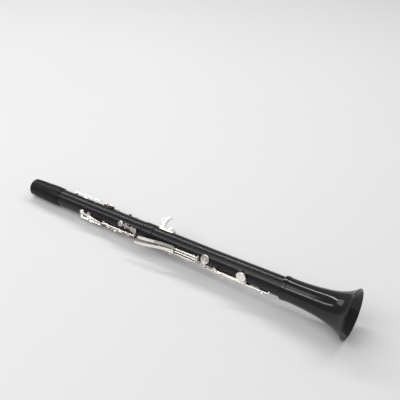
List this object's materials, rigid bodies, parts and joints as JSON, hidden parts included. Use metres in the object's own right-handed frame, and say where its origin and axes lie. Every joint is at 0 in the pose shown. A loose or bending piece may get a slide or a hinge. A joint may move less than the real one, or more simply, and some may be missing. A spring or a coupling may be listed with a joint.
{
  "type": "clarinet",
  "caption": "Black resin clarinet body without its mouthpiece: barrel, two keyed joints and a flared bell, with sprung silver-plated keys on posts",
  "frame": {"origin": "centre of the barrel's top face, on the bore's axis, where the mouthpiece seats", "axes": "+X along the bore towards the bell; the finger side faces -Y and -Z, the player's left faces -Y and +Z, as the instrument lies on a table"},
  "size_m": [0.6001, 0.0782, 0.0782],
  "materials": {
    "barrel_resin": "satin black resin",
    "body_resin": "satin black resin",
    "bell_resin": "polished black resin",
    "insert_resin": "black resin insert",
    "cork": "greased cork",
    "tube_brass": "plain brass",
    "key_pad": "skin-covered felt",
    "spring_steel": "blued steel",
    "rod_steel": "steel",
    "thumb_rest_plate": "silver plate",
    "post_plate": "silver plate",
    "key_plate": "silver plate"
  },
  "bodies": {
    "instrument_body": {"bell": "bell_resin", "bell_tenon_cork": "cork", "lower_hinge_rods": "rod_steel", "lower_joint": "body_resin", "lower_needle_springs": "spring_steel", "lower_posts": "post_plate", "middle_tenon_cork": "cork", "register_tube": "tube_brass", "thumb_rest": "thumb_rest_plate", "thumb_rest_screws": "rod_steel", "thumb_tube": "insert_resin", "upper_hinge_rods": "rod_steel", "upper_joint": "body_resin", "upper_needle_springs": "spring_steel", "upper_posts": "post_plate", "upper_tenon_cork": "cork"},
    "register_key_body": {"register_key": "key_plate", "register_pad": "key_pad"},
    "throat_a_key_body": {"throat_a_key": "key_plate", "throat_a_pad": "key_pad"},
    "throat_gsharp_key_body": {"throat_gsharp_key": "key_plate", "throat_gsharp_pad": "key_pad"},
    "csharp_gsharp_key_body": {"csharp_gsharp_key": "key_plate", "csharp_gsharp_pad": "key_pad"},
    "thumb_ring_key_body": {"thumb_ring_key": "key_plate", "thumb_ring_pad": "key_pad"},
    "upper_ring_key_body": {"upper_ring_key": "key_plate", "upper_ring_pad": "key_pad"},
    "upper_sliver_key_body": {"upper_sliver_key": "key_plate", "upper_sliver_pad": "key_pad"},
    "side_trill_key_1_body": {"side_trill_key_1": "key_plate", "side_trill_pad_1": "key_pad"},
    "side_trill_key_2_body": {"side_trill_key_2": "key_plate", "side_trill_pad_2": "key_pad"},
    "side_trill_key_3_body": {"side_trill_key_3": "key_plate", "side_trill_pad_3": "key_pad"},
    "side_trill_key_4_body": {"side_trill_key_4": "key_plate", "side_trill_pad_4": "key_pad"},
    "lower_ring_key_body": {"lower_ring_key": "key_plate", "lower_ring_pad": "key_pad"},
    "lower_sliver_key_body": {"lower_sliver_key": "key_plate", "lower_sliver_pad": "key_pad"},
    "left_e_lever_body": {"left_e_lever": "key_plate"},
    "left_fsharp_lever_body": {"left_fsharp_lever": "key_plate"},
    "aflat_eflat_key_body": {"aflat_eflat_key": "key_plate", "aflat_eflat_pad": "key_pad"},
    "e_b_key_body": {"e_b_key": "key_plate", "e_b_pad": "key_pad"},
    "fsharp_csharp_key_body": {"fsharp_csharp_key": "key_plate", "fsharp_csharp_pad": "key_pad"},
    "f_c_key_body": {"f_c_key": "key_plate", "f_c_pad": "key_pad"},
    "barrel_body": {"barrel": "barrel_resin"}
  },
  "joints": [
    {"name": "barrel_tuning_slide", "type": "slide", "parent": "instrument_body", "child": "barrel_body", "axis": [-1, 0, 0], "range_m": [0, 0.003]},
    {"name": "register_key_turn", "type": "hinge", "parent": "instrument_body", "child": "register_key_body", "pos_m": [0.112, 0.013, 0.01171], "axis": [0, 0.6691, -0.7431], "range_deg": [0, 6], "stiffness_Nm_per_rad": 0.03, "springref_deg": -14.9},
    {"name": "throat_a_key_turn", "type": "hinge", "parent": "instrument_body", "child": "throat_a_key_body", "pos_m": [0.134, -0.01379, -0.01077], "axis": [0, -0.6157, 0.788], "range_deg": [0, 7], "stiffness_Nm_per_rad": 0.03, "springref_deg": -14.9},
    {"name": "throat_gsharp_key_turn", "type": "hinge", "parent": "instrument_body", "child": "throat_gsharp_key_body", "pos_m": [0.138, -0.01743, 0.00153], "axis": [0, 0.0872, 0.9962], "range_deg": [0, 7], "stiffness_Nm_per_rad": 0.03, "springref_deg": -14.9},
    {"name": "csharp_gsharp_key_turn", "type": "hinge", "parent": "instrument_body", "child": "csharp_gsharp_key_body", "pos_m": [0.216, -0.01434, 0.01004], "axis": [0, 0.5736, 0.8192], "range_deg": [0, 9], "stiffness_Nm_per_rad": 0.03, "springref_deg": -14.9},
    {"name": "thumb_ring_key_turn", "type": "hinge", "parent": "instrument_body", "child": "thumb_ring_key_body", "pos_m": [0.161, 0.01718, 0.00334], "axis": [1, 0, 0], "range_deg": [0, 7], "stiffness_Nm_per_rad": 0.03, "springref_deg": -14.9},
    {"name": "upper_ring_key_turn", "type": "hinge", "parent": "instrument_body", "child": "upper_ring_key_body", "pos_m": [0.201, -0.0174, -0.00183], "axis": [1, 0, 0], "range_deg": [0, 7], "stiffness_Nm_per_rad": 0.03, "springref_deg": -14.9},
    {"name": "upper_sliver_key_turn", "type": "hinge", "parent": "instrument_body", "child": "upper_sliver_key_body", "pos_m": [0.216, -0.00512, -0.01673], "axis": [-1, 0, 0], "range_deg": [0, 11], "stiffness_Nm_per_rad": 0.03, "springref_deg": -14.9},
    {"name": "side_trill_key_1_turn", "type": "hinge", "parent": "instrument_body", "child": "side_trill_key_1_body", "pos_m": [0.196, 0.00979, -0.01451], "axis": [1, 0, 0], "range_deg": [0, 12], "stiffness_Nm_per_rad": 0.03, "springref_deg": -14.9},
    {"name": "side_trill_key_2_turn", "type": "hinge", "parent": "instrument_body", "child": "side_trill_key_2_body", "pos_m": [0.182, 0.0128, -0.01193], "axis": [1, 0, 0], "range_deg": [0, 10], "stiffness_Nm_per_rad": 0.03, "springref_deg": -14.9},
    {"name": "side_trill_key_3_turn", "type": "hinge", "parent": "instrument_body", "child": "side_trill_key_3_body", "pos_m": [0.168, 0.01516, -0.00875], "axis": [1, 0, 0], "range_deg": [0, 8], "stiffness_Nm_per_rad": 0.03, "springref_deg": -14.9},
    {"name": "side_trill_key_4_turn", "type": "hinge", "parent": "instrument_body", "child": "side_trill_key_4_body", "pos_m": [0.154, 0.01673, -0.00512], "axis": [1, 0, 0], "range_deg": [0, 7], "stiffness_Nm_per_rad": 0.03, "springref_deg": -14.9},
    {"name": "lower_ring_key_turn", "type": "hinge", "parent": "instrument_body", "child": "lower_ring_key_body", "pos_m": [0.3165, -0.01698, -0.00423], "axis": [1, 0, 0], "range_deg": [0, 7], "stiffness_Nm_per_rad": 0.03, "springref_deg": -14.9},
    {"name": "lower_sliver_key_turn", "type": "hinge", "parent": "instrument_body", "child": "lower_sliver_key_body", "pos_m": [0.3285, -0.00512, -0.01673], "axis": [-1, 0, 0], "range_deg": [0, 11], "stiffness_Nm_per_rad": 0.03, "springref_deg": -14.9},
    {"name": "left_e_lever_turn", "type": "hinge", "parent": "instrument_body", "child": "left_e_lever_body", "pos_m": [0.3305, -0.0174, 0.00183], "axis": [-1, 0, 0], "range_deg": [0, 9], "stiffness_Nm_per_rad": 0.03, "springref_deg": -14.9},
    {"name": "left_fsharp_lever_turn", "type": "hinge", "parent": "instrument_body", "child": "left_fsharp_lever_body", "pos_m": [0.3305, -0.01645, 0.00598], "axis": [-1, 0, 0], "range_deg": [0, 9], "stiffness_Nm_per_rad": 0.03, "springref_deg": -14.9},
    {"name": "aflat_eflat_key_turn", "type": "hinge", "parent": "instrument_body", "child": "aflat_eflat_key_body", "pos_m": [0.376, -0.01341, -0.01125], "axis": [1, 0, 0], "range_deg": [0, 11], "stiffness_Nm_per_rad": 0.03, "springref_deg": -14.9},
    {"name": "e_b_key_turn", "type": "hinge", "parent": "instrument_body", "child": "e_b_key_body", "pos_m": [0.4255, -0.01612, -0.00822], "axis": [1, 0, 0], "range_deg": [0, 13], "stiffness_Nm_per_rad": 0.03, "springref_deg": -14.9},
    {"name": "fsharp_csharp_key_turn", "type": "hinge", "parent": "instrument_body", "child": "fsharp_csharp_key_body", "pos_m": [0.4115, -0.01713, -0.00427], "axis": [-1, 0, 0], "range_deg": [0, 13], "stiffness_Nm_per_rad": 0.03, "springref_deg": -14.9},
    {"name": "f_c_key_turn", "type": "hinge", "parent": "instrument_body", "child": "f_c_key_body", "pos_m": [0.427, -0.01329, -0.01176], "axis": [1, 0, 0], "range_deg": [0, 13], "stiffness_Nm_per_rad": 0.03, "springref_deg": -14.9}
  ],
  "couplings": [
    {"joint": "e_b_key_turn", "follows": "left_e_lever_turn", "ratio": 1.4444},
    {"joint": "fsharp_csharp_key_turn", "follows": "left_fsharp_lever_turn", "ratio": 1.4444}
  ]
}
